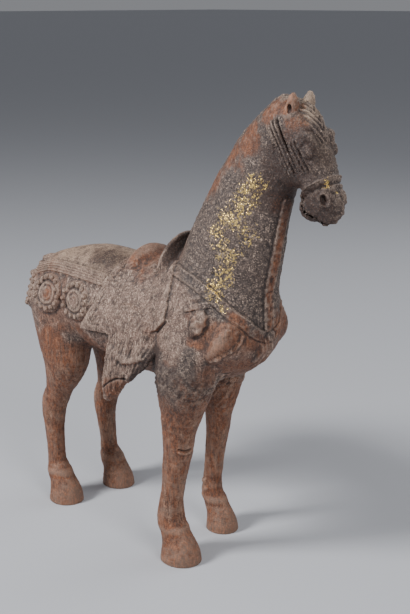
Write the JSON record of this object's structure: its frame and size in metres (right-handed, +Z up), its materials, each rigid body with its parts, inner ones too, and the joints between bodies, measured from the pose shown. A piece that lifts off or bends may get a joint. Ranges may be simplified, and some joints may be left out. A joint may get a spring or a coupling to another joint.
{
  "type": "chinese tomb horse",
  "caption": "Standing saddled horse figure cast in one piece, with saddle-cloth, breast straps and medallions in relief; it stands on its own hooves.",
  "frame": {"origin": "on the ground under the middle of the horse's bounding box", "axes": "+X the way the horse looks, +Y its left side, +Z up"},
  "size_m": [0.5482, 0.1766, 0.5945],
  "materials": {
    "iron": "rusted and weathered, matte, with a pale grey crust and remains of gold leaf"
  },
  "bodies": {
    "root": {"horse": "iron"}
  },
  "joints": []
}
